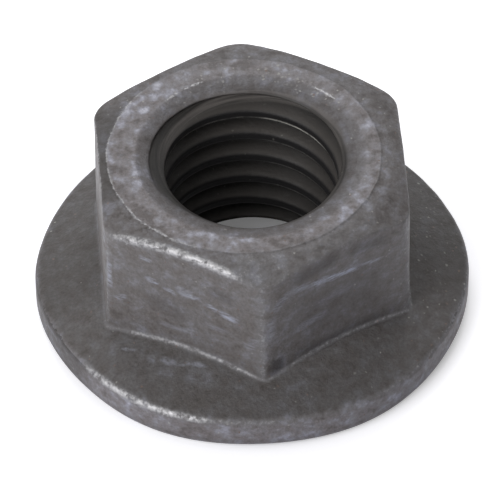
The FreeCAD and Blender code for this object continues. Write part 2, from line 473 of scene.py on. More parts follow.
def bore_wall_group():
    """Radius of the bore's wall at a height and an angle: hole, countersinks, dish and thread.

    From Groove is the height from the middle of the nearest groove. Groove Side is positive above it.
    """
    names = ("Angle", "Level", "Height", "Hole Radius", "Dish Radius", "Dish Slope", "Mouth Radius",
             "Mouth Rounding", "Countersink Radius", "Thread Radius", "Thread Pitch", "Thread Start",
             "Thread Rounding")
    tree, given, result = new_group(
        "GeometryNodeTree", "bore_wall", {name: "Float" for name in names},
        {"Radius": "Float", "From Groove": "Float", "Groove Side": "Float", "On Dish": "Float"})
    pitch = given["Thread Pitch"]
    past_start = add(tree, "ShaderNodeMath", [given["Angle"], given["Thread Start"]], operation="SUBTRACT")
    turns = add(tree, "ShaderNodeMath", [past_start, whole_turn], operation="DIVIDE")
    climb = add(tree, "ShaderNodeMath", [turns, pitch], operation="MULTIPLY")
    above = add(tree, "ShaderNodeMath", [given["Level"], climb], operation="SUBTRACT")
    half_pitch = add(tree, "ShaderNodeMath", [pitch, 0.5], operation="MULTIPLY")
    from_groove = add(tree, "ShaderNodeMath", [above, half_pitch], operation="PINGPONG")
    side = add(tree, "ShaderNodeMath", [above, pitch], operation="DIVIDE")
    side = add(tree, "ShaderNodeMath", [side, whole_turn], operation="MULTIPLY")
    side = add(tree, "ShaderNodeMath", [side], operation="SINE")
    root = add(tree, "ShaderNodeMath", [pitch, root_share], operation="MULTIPLY")
    up_flank = add(tree, "ShaderNodeMath", [root, from_groove], operation="SUBTRACT")
    up_flank = add(tree, "ShaderNodeMath", [up_flank, math.tan(flank_angle)], operation="DIVIDE")
    flank = add(tree, "ShaderNodeMath", [given["Thread Radius"], up_flank], operation="ADD")
    rounding = given["Thread Rounding"]
    wall = add(tree, "ShaderNodeMath", [flank, given["Thread Radius"], rounding], operation="SMOOTH_MIN")
    sink = add(tree, "ShaderNodeMath", [given["Countersink Radius"], given["Level"]], operation="SUBTRACT")
    steepness = add(tree, "ShaderNodeMath", [given["Dish Slope"]], operation="TANGENT")
    below_top = add(tree, "ShaderNodeMath", [given["Height"], given["Level"]], operation="SUBTRACT")
    dish = add(tree, "ShaderNodeMath", [below_top, steepness], operation="DIVIDE")
    dish = add(tree, "ShaderNodeMath", [given["Dish Radius"], dish], operation="SUBTRACT")
    mouth_run = add(tree, "ShaderNodeMath", [given["Dish Radius"], given["Mouth Radius"]],
                    operation="SUBTRACT")
    mouth_depth = add(tree, "ShaderNodeMath", [mouth_run, steepness], operation="MULTIPLY")
    below_mouth = add(tree, "ShaderNodeMath", [below_top, mouth_depth], operation="SUBTRACT")
    lead_in = add(tree, "ShaderNodeMath", [given["Mouth Radius"], below_mouth], operation="SUBTRACT")
    for other in (given["Hole Radius"], sink, lead_in):
        wall = add(tree, "ShaderNodeMath", [wall, other, rounding], operation="SMOOTH_MAX")
    wall = add(tree, "ShaderNodeMath", [wall, dish, given["Mouth Rounding"]], operation="SMOOTH_MAX")
    on_dish = add(tree, "ShaderNodeMapRange", {"Value": below_mouth, "From Min": mouth_blend,
                                               "From Max": -mouth_blend})
    for node, name in ((wall, "Radius"), (from_groove, "From Groove"), (side, "Groove Side"),
                       (on_dish, "On Dish")):
        tree.links.new(first(node), result.inputs[name])
    return tree


def outer_surface(tree, given, grid):
    """Points of the outside, from inside the dish to the bearing face, and what the finish reads there."""
    # Radii that change round the nut: the hexagon's side, whose corners are rounder at the top than at the
    # foot, the crown and its pad, which are off centre, and the rim, which swells a little beside each flat
    hexagon_side = hexagon_side_group()
    hexagon, hexagon_foot = (
        add(tree, "GeometryNodeGroup", {"Angle": grid.angle, "Across Flats": given["Across Flats"],
                                        "Corner Rounding": given[name]}, node_tree=hexagon_side)
        for name in ("Top Corner Rounding", "Foot Corner Rounding"))
    off_centre = []
    for name in ("Crown", "Pad"):
        off = add(tree, "ShaderNodeMath", [grid.angle, given[f"{name} Direction"]], operation="SUBTRACT")
        off = add(tree, "ShaderNodeMath", [off], operation="COSINE")
        off_centre.append(
            add(tree, "ShaderNodeMath", [off, given[f"{name} Offset"], given[f"{name} Radius"]],
                operation="MULTIPLY_ADD"))
    crown, pad = off_centre
    spoke = add(tree, "ShaderNodeVectorRotate", {"Vector": (1.0, 0.0, 0.0), "Angle": grid.angle},
                rotation_type="Z_AXIS")
    waver = add(tree, "ShaderNodeTexNoise", {"Vector": spoke, "W": given["Seed"], "Scale": pad_waver_scale,
                                             "Detail": 4.0}, noise_dimensions="4D")
    waver = add(tree, "ShaderNodeMath", [waver, 0.5], operation="SUBTRACT")
    pad = add(tree, "ShaderNodeMath", [waver, given["Pad Waver"], pad], operation="MULTIPLY_ADD")
    swell = add(tree, "ShaderNodeMath", [grid.angle, flats], operation="MULTIPLY")
    swell = add(tree, "ShaderNodeMath", [swell], operation="COSINE")
    rim = add(tree, "ShaderNodeMath", [swell, given["Flange Swell"], given["Flange Radius"]],
              operation="MULTIPLY_ADD")

    # The profile's first and last sides are twice as long as they show, because the rows end in their middles
    dish_end = add(tree, "ShaderNodeMath", [grid.seam_radius, 2.0], operation="MULTIPLY")
    dish_end = add(tree, "ShaderNodeMath", [dish_end, given["Dish Radius"]], operation="SUBTRACT")
    bearing_end = add(tree, "ShaderNodeMath", [given["Countersink Radius"], 2.0], operation="MULTIPLY")
    bearing_end = add(tree, "ShaderNodeMath", [bearing_end, rim], operation="SUBTRACT")
    flange_cone = {"Circle Radius": rim, "Circle Height": given["Rim Height"], "Slope": given["Flange Slope"]}
    dish_level, foot_level = (
        add(tree, "GeometryNodeGroup", {"Radius": radius, **cone}, node_tree=grid.cone_height)
        for radius, cone in ((dish_end, grid.dish_cone), (hexagon_foot, flange_cone)))
    crown_height = crown_height_group()
    crown_inputs = {name: given[name] for name in ("Height", "Crown Slope", "Crown Blend", "Pad Step",
                                                   "Pad Edge Width")}
    crown_inputs.update({"Crown Radius": crown, "Pad Radius": pad})
    inside_arch = add(tree, "ShaderNodeMath", [hexagon, tangent_step], operation="SUBTRACT")
    arch_level, inside_level = (
        add(tree, "GeometryNodeGroup", {"Radius": radius, **crown_inputs}, node_tree=crown_height)
        for radius in (hexagon, inside_arch))
    points = [
        add(tree, "ShaderNodeCombineXYZ", {"X": radius, "Z": level})
        for radius, level in (
            (dish_end, dish_level), (given["Dish Radius"], given["Height"]), (pad, given["Height"]),
            (hexagon, arch_level), (hexagon_foot, foot_level), (rim, given["Rim Height"]), (rim, 0.0),
            (bearing_end, 0.0))]

    # The crown meets the arch at its own slope there, so the side before the arch runs back along that slope
    arch = points[3]
    inside = add(tree, "ShaderNodeCombineXYZ", {"X": inside_arch, "Z": inside_level})
    slope_back = add(tree, "ShaderNodeVectorMath", [inside, arch], operation="SUBTRACT")
    times = add(tree, "ShaderNodeMath", [hexagon, pad], operation="SUBTRACT")
    times = add(tree, "ShaderNodeMath", [times, tangent_step], operation="DIVIDE")
    before_arch = add(tree, "ShaderNodeVectorMath", [slope_back, times, arch], operation="MULTIPLY_ADD")
    befores = [*points[:2], before_arch, *points[3:-2]]

    # Each row picks its corner of the profile and the way round it
    roundings = [given[name] for name in ("Dish Edge Rounding", "Pad Edge Rounding", "Arch Edge Rounding",
                                          "Foot Fillet", "Rim Top Rounding", "Rim Foot Rounding")]
    profile_place = add(tree, "ShaderNodeMath", [grid.row, corner_rows], operation="DIVIDE")
    number = add(tree, "ShaderNodeMath", [profile_place], operation="FLOOR")
    number = add(tree, "ShaderNodeMath", [number, profile_corners - 1], operation="MINIMUM")
    way = add(tree, "ShaderNodeMath", [profile_place, number], operation="SUBTRACT")
    corner = add(tree, "GeometryNodeGroup", {"Way": way}, node_tree=rounded_corner_group())
    for name, kind, items in (("Before", "VECTOR", befores), ("Corner", "VECTOR", points[1:-1]),
                              ("After", "VECTOR", points[2:]), ("Rounding", "FLOAT", roundings)):
        choice = add(tree, "GeometryNodeIndexSwitch", data_type=kind)
        while len(choice.index_switch_items) < profile_corners:
            choice.index_switch_items.new()
        tree.links.new(first(number), choice.inputs["Index"])
        for item, source in enumerate(items):
            source = first(source) if isinstance(source, bpy.types.Node) else source
            tree.links.new(source, choice.inputs[item + 1])
        tree.links.new(first(choice), corner.inputs[name])

    # From between dish and pad to where the arch begins to turn, the height is the crown's own
    profile_point = add(tree, "ShaderNodeSeparateXYZ", [corner])
    crown_start, crown_end = 1.0, chamfer + arc_start
    on_crown = add(tree, "ShaderNodeMath", [profile_place, (crown_start + crown_end) / 2,
                                            (crown_end - crown_start) / 2 + place_slack], operation="COMPARE")
    level = add(tree, "GeometryNodeGroup", {"Radius": profile_point.outputs["X"], **crown_inputs},
                node_tree=crown_height)
    level = add(tree, "GeometryNodeSwitch", [on_crown, profile_point.outputs["Z"], level],
                input_type="FLOAT")
    point = add(tree, "ShaderNodeCombineXYZ", {"X": profile_point.outputs["X"], "Z": level})
    notes = {"profile_place": profile_place, "from_edge": corner.outputs["From Corner"],
             "from_upright": hexagon.outputs["From Corner"]}
    return point, notes


def bore_surface(tree, given, grid):
    """Points of the bore's wall, and what the finish reads there.

    Its rows are level in the bottom end, climb with the thread, and are level again in the top end.
    """
    pitch = given["Thread Pitch"]
    low = add(tree, "ShaderNodeMath", [pitch, bottom_end], operation="MULTIPLY")
    high = add(tree, "ShaderNodeMath", [pitch, top_end], operation="MULTIPLY")
    top = add(tree, "GeometryNodeGroup", {"Radius": grid.seam_radius, **grid.dish_cone},
              node_tree=grid.cone_height)
    helix_height = add(tree, "ShaderNodeMath", [high, low], operation="SUBTRACT")
    top_height = add(tree, "ShaderNodeMath", [top, high], operation="SUBTRACT")
    first_turn = bottom_end - 1 - bottom_rows / pitch_rows
    turns = add(tree, "ShaderNodeMath", [grid.angle, whole_turn], operation="DIVIDE")
    turns = add(tree, "ShaderNodeMath", [grid.row, 1 / pitch_rows, turns], operation="MULTIPLY_ADD")
    turns = add(tree, "ShaderNodeMath", [turns, first_turn], operation="ADD")
    level = 0.0
    for value, start, end, height in (
            (grid.row, 0, bottom_rows, low),
            (turns, bottom_end, top_end, helix_height),
            (grid.row, bottom_rows + helix_rows, bore_rows, top_height)):
        part = add(tree, "ShaderNodeMapRange", {"Value": value, "From Min": start, "From Max": end,
                                                "To Max": height})
        level = add(tree, "ShaderNodeMath", [level, part], operation="ADD")
    wall_group = bore_wall_group()
    wall_inputs = {item.name: given[item.name] for item in wall_group.interface.items_tree
                   if item.in_out == "INPUT" and item.name in sizes}
    wall = add(tree, "GeometryNodeGroup", {"Angle": grid.angle, "Level": level, **wall_inputs},
               node_tree=wall_group)
    point = add(tree, "ShaderNodeCombineXYZ", {"X": wall, "Z": level})
    profile_place = add(tree, "ShaderNodeMapRange", {"Value": wall.outputs["On Dish"], "To Min": bore_place,
                                                     "To Max": dish_place})
    below_dish_edge = add(tree, "ShaderNodeMath", [given["Dish Radius"], wall], operation="SUBTRACT")
    notes = {"profile_place": profile_place, "from_edge": below_dish_edge,
             "from_groove": wall.outputs["From Groove"], "groove_side": wall.outputs["Groove Side"]}
    return point, notes


def uneven_lift(tree, given):
    """How far the skin is lifted: by forging waves, which fade out at the bearing face, less small dents."""
    position = add(tree, "GeometryNodeInputPosition")
    waves, dents = (
        add(tree, "ShaderNodeTexNoise", {"Vector": position, "W": given["Seed"],
                                         "Scale": 1 / pattern_widths[name], "Detail": detail},
            noise_dimensions="4D")
        for name, detail in (("forging_waves", 3.0), ("dents", 2.0)))
    height = add(tree, "ShaderNodeSeparateXYZ", [position]).outputs["Z"]
    free = add(tree, "ShaderNodeMapRange", {"Value": height, "From Max": waves_full_height,
                                            "To Max": given["Forging Waves"]},
               interpolation_type="SMOOTHSTEP")
    lift = add(tree, "ShaderNodeMapRange", {"Value": waves, "From Min": 0.25, "From Max": 0.75,
                                            "To Min": -1.0, "To Max": 1.0}, clamp=False)
    lift = add(tree, "ShaderNodeMath", [lift, free], operation="MULTIPLY")

    # The arched top edges of the flats and the top edge of the rim are dented from handling
    at_place, away = (
        add(tree, "GeometryNodeInputNamedAttribute", {"Name": name}, data_type="FLOAT")
        for name in ("profile_place", "from_edge"))
    near = add(tree, "ShaderNodeMapRange", {"Value": away, "From Max": given["Edge Dent Reach"],
                                            "To Min": 1.0, "To Max": 0.0}, interpolation_type="SMOOTHSTEP")
    dents = add(tree, "ShaderNodeMapRange", {"Value": dents, "From Min": 0.45, "From Max": 0.75,
                                             "To Max": given["Edge Dents"]})
    dents = add(tree, "ShaderNodeMath", [dents, near], operation="MULTIPLY")
    for edge in (arch_edge, rim_edge):
        here = add(tree, "ShaderNodeMath", [at_place, edge, 0.5], operation="COMPARE")
        dent = add(tree, "ShaderNodeMath", [dents, here], operation="MULTIPLY")
        lift = add(tree, "ShaderNodeMath", [lift, dent], operation="SUBTRACT")
    return lift


def nut_group():
    """The whole nut as one closed skin: a grid wrapped over its outside and a grid wrapped up its bore."""
    tree, given, result = new_group(
        "GeometryNodeTree", "forged_and_tapped_nut",
        {**{name: "Float" for name in sizes}, "Seed": "Float", "Finish": "Material"}, {"Mesh": "Geometry"})

    # On both grids X is the angle, crowded towards the hexagon's corners, and Y counts the rows. They meet at
    # the countersink's edge below, and above on the dish's cone, a little outside the thread
    place = add(tree, "ShaderNodeSeparateXYZ", [add(tree, "GeometryNodeInputPosition")])
    around, row = place.outputs["X"], place.outputs["Y"]
    crowded = add(tree, "ShaderNodeMath", [around, flats], operation="MULTIPLY")
    crowded = add(tree, "ShaderNodeMath", [crowded], operation="SINE")
    angle = add(tree, "ShaderNodeMath", [crowded, column_crowding / flats, around], operation="MULTIPLY_ADD")
    seam_radius = add(tree, "ShaderNodeMath", [given["Thread Radius"], seam_gap], operation="ADD")
    dish_rise = add(tree, "ShaderNodeMath", [given["Dish Slope"], -1.0], operation="MULTIPLY")
    dish_cone = {"Circle Radius": given["Dish Radius"], "Circle Height": given["Height"], "Slope": dish_rise}
    grid = SimpleNamespace(angle=angle, row=row, seam_radius=seam_radius, dish_cone=dish_cone,
                           cone_height=cone_height_group())
    skins = []
    for rows, surface in ((outer_rows, outer_surface), (bore_rows, bore_surface)):
        point, notes = surface(tree, given, grid)
        point = add(tree, "ShaderNodeVectorRotate", {"Vector": point, "Angle": angle}, rotation_type="Z_AXIS")
        skin = add(tree, "GeometryNodeMeshGrid", {"Size X": whole_turn, "Size Y": rows,
                                                  "Vertices X": columns + 1, "Vertices Y": rows + 1})
        skin = add(tree, "GeometryNodeTransform", {"Geometry": skin, "Translation": (math.pi, rows / 2, 0)})
        for name, value in notes.items():
            skin = add(tree, "GeometryNodeStoreNamedAttribute", {"Geometry": skin, "Name": name,
                                                                 "Value": value})
        skins.append(add(tree, "GeometryNodeSetPosition", {"Geometry": skin, "Position": point}))
    joined = add(tree, "GeometryNodeJoinGeometry")
    for skin in reversed(skins):
        tree.links.new(first(skin), joined.inputs[0])
    mesh = add(tree, "GeometryNodeMergeByDistance", {"Geometry": joined, "Distance": merge_distance})
    mesh = add(tree, "GeometryNodeFlipFaces", [mesh])
    normal = add(tree, "GeometryNodeInputNormal")
    offset = add(tree, "ShaderNodeVectorMath", [normal, uneven_lift(tree, given)], operation="MULTIPLY")
    mesh = add(tree, "GeometryNodeSetPosition", {"Geometry": mesh, "Offset": offset})
    mesh = add(tree, "GeometryNodeSetShadeSmooth", [mesh])
    mesh = add(tree, "GeometryNodeRealizeInstances", [mesh])
    mesh = add(tree, "GeometryNodeSetMaterial", {"Geometry": mesh, "Material": given["Finish"]})
    tree.links.new(first(mesh), result.inputs[0])
    return tree


def make_nut(finish):
    """Builds the nut with its tree, and keeps the result as a plain mesh."""
    holder = bpy.data.objects.new("nut_grid", bpy.data.meshes.new("nut_grid"))
    bpy.context.scene.collection.objects.link(holder)
    modifier = holder.modifiers.new("nut", "NODES")
    modifier.node_group = nut_group()
    values = {**sizes, "Seed": seed, "Finish": finish}
    for item in modifier.node_group.interface.items_tree:
        if item.in_out == "INPUT":
            modifier[item.identifier] = values[item.name]
    graph = bpy.context.evaluated_depsgraph_get()
    mesh = bpy.data.meshes.new_from_object(holder.evaluated_get(graph))
    mesh.name = "forged_nut"
    bpy.data.objects.remove(holder)
    nut = bpy.data.objects.new("forged_nut", mesh)
    bpy.context.scene.collection.objects.link(nut)
    return nut


def linear(code):
    """The linear colour, with alpha, of an sRGB hex code."""
    values = [int(code[i:i + 2], 16) / 255 for i in (1, 3, 5)]
    return tuple(v / 12.92 if v <= 0.04045 else ((v + 0.055) / 1.055) ** 2.4 for v in values) + (1.0,)


def worn_edge_group():
    """How far an edge is worn, from 0 to 1, near one place along the profile and over part of the way round.

    Neither this group nor scratch_group clamps by a node's own setting. Cycles moves such a clamp to the end,
    and then holds the values of all edges and scratches at once, which are more than it has room for.
    """
    names = ("Profile Place", "Edge", "Distance", "Reach", "Azimuth", "Middle", "Half Width", "Strength")
    tree, given, result = new_group("ShaderNodeTree", "worn_edge", {name: "Float" for name in names},
                                    {"Wear": "Float"})
    here = add(tree, "ShaderNodeMath", [given["Profile Place"], given["Edge"], 0.5], operation="COMPARE")
    near = add(tree, "ShaderNodeMapRange", {"Value": given["Distance"], "From Max": given["Reach"],
                                            "To Min": 1.0, "To Max": 0.0},
               interpolation_type="SMOOTHSTEP", clamp=False)
    off = add(tree, "ShaderNodeMath", [given["Azimuth"], given["Middle"]], operation="SUBTRACT")
    off = add(tree, "ShaderNodeMath", [off, math.pi, -math.pi], operation="WRAP")
    off = add(tree, "ShaderNodeMath", [off], operation="ABSOLUTE")
    full = add(tree, "ShaderNodeMath", [given["Half Width"], 0.6], operation="MULTIPLY")
    there = add(tree, "ShaderNodeMapRange", {"Value": off, "From Min": given["Half Width"],
                                             "From Max": full},
                interpolation_type="SMOOTHSTEP", clamp=False)
    wear = here
    for factor in (near, there, given["Strength"]):
        wear = add(tree, "ShaderNodeMath", [wear, factor], operation="MULTIPLY")
    tree.links.new(first(wear), result.inputs["Wear"])
    return tree


def scratch_group():
    """How bright one scratch is. It runs from Start to End, in the plane that Place lies in, and tapers."""
    tree, given, result = new_group(
        "ShaderNodeTree", "scratch",
        {"Place": "Vector", "Start": "Vector", "End": "Vector", "Half Width": "Float", "Strength": "Float"},
        {"Mark": "Float"})
    from_start = add(tree, "ShaderNodeVectorMath", [given["Place"], given["Start"]], operation="SUBTRACT")
    line = add(tree, "ShaderNodeVectorMath", [given["End"], given["Start"]], operation="SUBTRACT")
    along = add(tree, "ShaderNodeVectorMath", [from_start, line], operation="DOT_PRODUCT")
    square = add(tree, "ShaderNodeVectorMath", [line, line], operation="DOT_PRODUCT")
    along = add(tree, "ShaderNodeMath", [along, square], operation="DIVIDE")
    along = add(tree, "ShaderNodeMath", [along, 0.0], operation="MAXIMUM")
    along = add(tree, "ShaderNodeMath", [along, 1.0], operation="MINIMUM")
    nearest = add(tree, "ShaderNodeVectorMath", {"Vector": line, "Scale": along}, operation="SCALE")
    gap = add(tree, "ShaderNodeVectorMath", [from_start, nearest], operation="DISTANCE")
    core = add(tree, "ShaderNodeMath", [given["Half Width"], 0.25], operation="MULTIPLY")
    mark = add(tree, "ShaderNodeMapRange", {"Value": gap, "From Min": given["Half Width"], "From Max": core},
               clamp=False)
    off_middle = add(tree, "ShaderNodeMath", [along, 0.5], operation="SUBTRACT")
    off_middle = add(tree, "ShaderNodeMath", [off_middle], operation="ABSOLUTE")
    taper = add(tree, "ShaderNodeMapRange", {"Value": off_middle, "From Min": 0.5, "From Max": 0.25},
                clamp=False)
    strength = given["Strength"]
    for factor in (mark, taper):
        factor = add(tree, "ShaderNodeMath", [factor, 0.0], operation="MAXIMUM")
        factor = add(tree, "ShaderNodeMath", [factor, 1.0], operation="MINIMUM")
        strength = add(tree, "ShaderNodeMath", [strength, factor], operation="MULTIPLY")
    tree.links.new(first(strength), result.inputs["Mark"])
    return tree


def strongest_edge(tree, group, at, edges, distance):
    """How strong the wear or dirt is at each point: that of the strongest of several edges."""
    strongest = 0.0
    for edge, reach, middle, half_width, strength in edges:
        one = add(tree, "ShaderNodeGroup",
                  {"Profile Place": at.profile_place, "Edge": edge, "Distance": distance, "Reach": reach * mm,
                   "Azimuth": at.azimuth, "Middle": middle * degree, "Half Width": half_width * degree,
                   "Strength": strength}, node_tree=group)
        strongest = add(tree, "ShaderNodeMath", [strongest, one], operation="MAXIMUM")
    return strongest


def strongest_mark(tree, group, place, marks):
    """How strong the strongest of several marks is at each point. They start and end at points in mm."""
    strongest = 0.0
    for start, end, half_width, strength in marks:
        one = add(tree, "ShaderNodeGroup",
                  {"Place": place, "Start": [length * mm for length in start],
                   "End": [length * mm for length in end], "Half Width": half_width * mm,
                   "Strength": strength}, node_tree=group)
        strongest = add(tree, "ShaderNodeMath", [strongest, one], operation="MAXIMUM")
    return strongest


def read_surface(tree):
    """What every part of the finish reads: where a point lies on the nut, and the patterns that they share.

    Across, depth and height are the point's X, Y and Z.
    """
    place = add(tree, "ShaderNodeTexCoord").outputs["Object"]
    across, depth, height = add(tree, "ShaderNodeSeparateXYZ", [place]).outputs
    azimuth = add(tree, "ShaderNodeMath", [depth, across], operation="ARCTAN2")
    notes = {name: add(tree, "ShaderNodeAttribute", attribute_name=name).outputs["Fac"]
             for name in ("profile_place", "from_edge", "from_upright", "from_groove", "groove_side")}

    # The clouds of paler crystal are drawn out sideways on the flats
    drawn_out = add(tree, "ShaderNodeVectorMath", [place, (1.0, 1.0, 1.3)], operation="MULTIPLY")
    patterns = {
        name: add(tree, "ShaderNodeTexNoise", {"Vector": vector, "Scale": 1 / pattern_widths[name],
                                               "Detail": detail, "Roughness": roughness})
        for name, vector, detail, roughness in (
            ("clouds", drawn_out, 4.0, 0.52), ("wide_clouds", drawn_out, 3.0, 0.5),
            ("grain", place, 3.0, 0.6), ("patches", place, 5.0, 0.65))}

    # A place that wavers a little, for marks with ragged outlines
    waver = patterns["patches"].outputs["Color"]
    waver = add(tree, "ShaderNodeVectorMath", [waver, (0.5, 0.5, 0.5)], operation="SUBTRACT")
    waver = add(tree, "ShaderNodeVectorMath", [waver, (mark_waver, mark_waver, mark_waver), place],
                operation="MULTIPLY_ADD")
    return SimpleNamespace(place=place, across=across, depth=depth, height=height, azimuth=azimuth,
                           waver=waver, **notes, **patterns)


def crystal_coat(tree, at):
    """The coat's colour, from dark between the clouds of crystal to pale in them, and how cloudy it is."""
    cloudy = add(tree, "ShaderNodeMath", [at.wide_clouds, 0.5, at.clouds], operation="MULTIPLY_ADD")
    cloudy = add(tree, "ShaderNodeMath", [cloudy, 0.75], operation="SUBTRACT")
    drift = add(tree, "ShaderNodeMath", [cloudy, 0.3, at.profile_place], operation="MULTIPLY_ADD")
    drift = add(tree, "ShaderNodeMath", [drift, profile_corners], operation="DIVIDE")
    paleness, cloudiness = (add(tree, "ShaderNodeValToRGB", [drift]) for _ in range(2))
    # The paleness along the profile holds painted shade that darkens the coat towards the hexagon's foot, and
    # painted light that makes the rim paler
    set_stops(paleness, [(spot / profile_corners, (red_green, red_green, blue, 1))
                         for spot, red_green, blue in coat_paleness])
    set_stops(cloudiness, [(spot / profile_corners, (value, value, value, 1))
                           for spot, value in coat_cloudiness])
    amount = add(tree, "ShaderNodeMath", [cloudy, cloudiness], operation="MULTIPLY")
    amount = add(tree, "ShaderNodeMapRange", {"Value": amount, "From Min": -0.19, "From Max": 0.26})
    coat = add(tree, "ShaderNodeValToRGB", [amount])
    set_stops(coat, [(position, linear(code)) for position, code in coat_colours])
    fleck = add(tree, "ShaderNodeMapRange", {"Value": at.grain, "From Min": 0.3, "From Max": 0.7,
                                             "To Min": 0.82, "To Max": 1.18})
    for factor in (paleness, fleck):
        coat = add(tree, "ShaderNodeMix", {"Factor": 1.0, "A": coat, "B": factor}, data_type="RGBA",
                   blend_type="MULTIPLY")
    return coat, cloudiness


def flat_and_flange_marks(tree, at):
    """How scratched, and how stained and shaded, each point is. The flats have scratches, and stains and
    painted shade, the flange scrapes.

    Scratches and scrapes are bundles of fine hairlines.
    """
    scratch = scratch_group()
    scratched, stained_and_shaded = 0.0, 0.0
    for flat in sorted({mark[0] for mark in scratches + stains_and_painted_shade}):
        turned = add(tree, "ShaderNodeVectorRotate", {"Vector": at.waver, "Angle": -flat * degree},
                     rotation_type="Z_AXIS")
        outwards = add(tree, "ShaderNodeSeparateXYZ", [turned]).outputs["X"]
        on_flat = add(tree, "ShaderNodeMath", [outwards, sizes["Across Flats"] / 2, flat_slack],
                      operation="COMPARE")
        along_and_up = add(tree, "ShaderNodeVectorMath", [turned, (0.0, 1.0, 1.0)], operation="MULTIPLY")
        marks = []
        for kind in (scratches, stains_and_painted_shade):
            mark = strongest_mark(tree, scratch, along_and_up, [
                ((0.0, *start), (0.0, *end), half_width, strength)
                for azimuth, start, end, half_width, strength in kind if azimuth == flat])
            marks.append(add(tree, "ShaderNodeMath", [mark, on_flat], operation="MULTIPLY"))
        scratched = add(tree, "ShaderNodeMath", [scratched, marks[0]], operation="MAXIMUM")
        stained_and_shaded = add(tree, "ShaderNodeMath", [stained_and_shaded, marks[1]], operation="MAXIMUM")
    from_above = add(tree, "ShaderNodeVectorMath", [at.waver, (1.0, 1.0, 0.0)], operation="MULTIPLY")
    scraped = strongest_mark(tree, scratch, from_above, [
        ((*start, 0.0), (*end, 0.0), half_width, strength) for start, end, half_width, strength in scrapes])
    on_flange = add(tree, "ShaderNodeMath", [at.profile_place, flange_top, 0.45], operation="COMPARE")
    scraped = add(tree, "ShaderNodeMath", [scraped, on_flange], operation="MULTIPLY")
    scratched = add(tree, "ShaderNodeMath", [scratched, scraped], operation="MAXIMUM")
    hairlines = add(tree, "ShaderNodeVectorMath", [at.place, (1.0, 1.0, 5.0)], operation="MULTIPLY")
    hairlines = add(tree, "ShaderNodeTexNoise", {"Vector": hairlines,
                                                 "Scale": 1 / pattern_widths["hairlines"],
                                                 "Detail": 5.0, "Roughness": 0.65})
    hairlines = add(tree, "ShaderNodeMapRange", {"Value": hairlines, "From Min": 0.38, "From Max": 0.62,
                                                 "To Min": 0.1, "To Max": 1.2})
    scratched = add(tree, "ShaderNodeMath", [scratched, hairlines], operation="MULTIPLY", use_clamp=True)
    return scratched, stained_and_shaded


def dust_and_rust(tree, at, worn_edge):
    """Specks of dust and loose crystal, about 0.1 mm across, and a few specks of rust.

    The dust lies thicker on the side towards +X, on the far side of the crown and at the dish's edge there.
    """
    cells = add(tree, "ShaderNodeTexVoronoi", {"Vector": at.waver, "Scale": 1 / pattern_widths["specks"]})
    chance, glitter, _ = add(tree, "ShaderNodeSeparateColor", [cells.outputs["Color"]]).outputs
    dusty = add(tree, "ShaderNodeMapRange", {"Value": at.across, "From Min": 5 * mm, "From Max": 9 * mm,
                                             "To Max": 0.14})
    dusty_crown = add(tree, "ShaderNodeMapRange", {"Value": at.depth, "From Min": 3 * mm,
                                                   "From Max": 5.5 * mm, "To Max": 0.25})
    on_crown = add(tree, "ShaderNodeMath", [at.profile_place, 0.6, 0.6], operation="COMPARE")
    dusty_crown = add(tree, "ShaderNodeMath", [dusty_crown, on_crown], operation="MULTIPLY")
    dusty_dish = strongest_edge(tree, worn_edge, at, [(dish_edge, 1.0, 60, 35, 0.6)], at.from_edge)
    for other in (dusty_crown, dusty_dish):
        dusty = add(tree, "ShaderNodeMath", [dusty, other], operation="MAXIMUM")
    speck_size = add(tree, "ShaderNodeMath", [dusty, 0.2, 0.36], operation="MULTIPLY_ADD")
    spot = add(tree, "ShaderNodeMapRange", {"Value": cells.outputs["Distance"], "From Min": speck_size,
                                            "From Max": 0.08})
    flurry = add(tree, "ShaderNodeMapRange", {"Value": at.wide_clouds, "From Min": 0.45, "From Max": 0.65,
                                              "To Min": 0.98, "To Max": 0.92})
    rare = add(tree, "ShaderNodeMath", [flurry, dusty], operation="SUBTRACT")
    chosen = add(tree, "ShaderNodeMath", [chance, rare], operation="GREATER_THAN")
    specks = add(tree, "ShaderNodeMath", [spot, chosen], operation="MULTIPLY")
    glitter = add(tree, "ShaderNodeMapRange", {"Value": glitter, "From Min": 0.3, "To Min": 0.1,
                                               "To Max": 0.8})
    specks = add(tree, "ShaderNodeMath", [specks, glitter], operation="MULTIPLY")
    rusty = add(tree, "ShaderNodeMath", [chance, 0.02], operation="LESS_THAN")
    rust = add(tree, "ShaderNodeMath", [spot, rusty], operation="MULTIPLY")
    return specks, rust


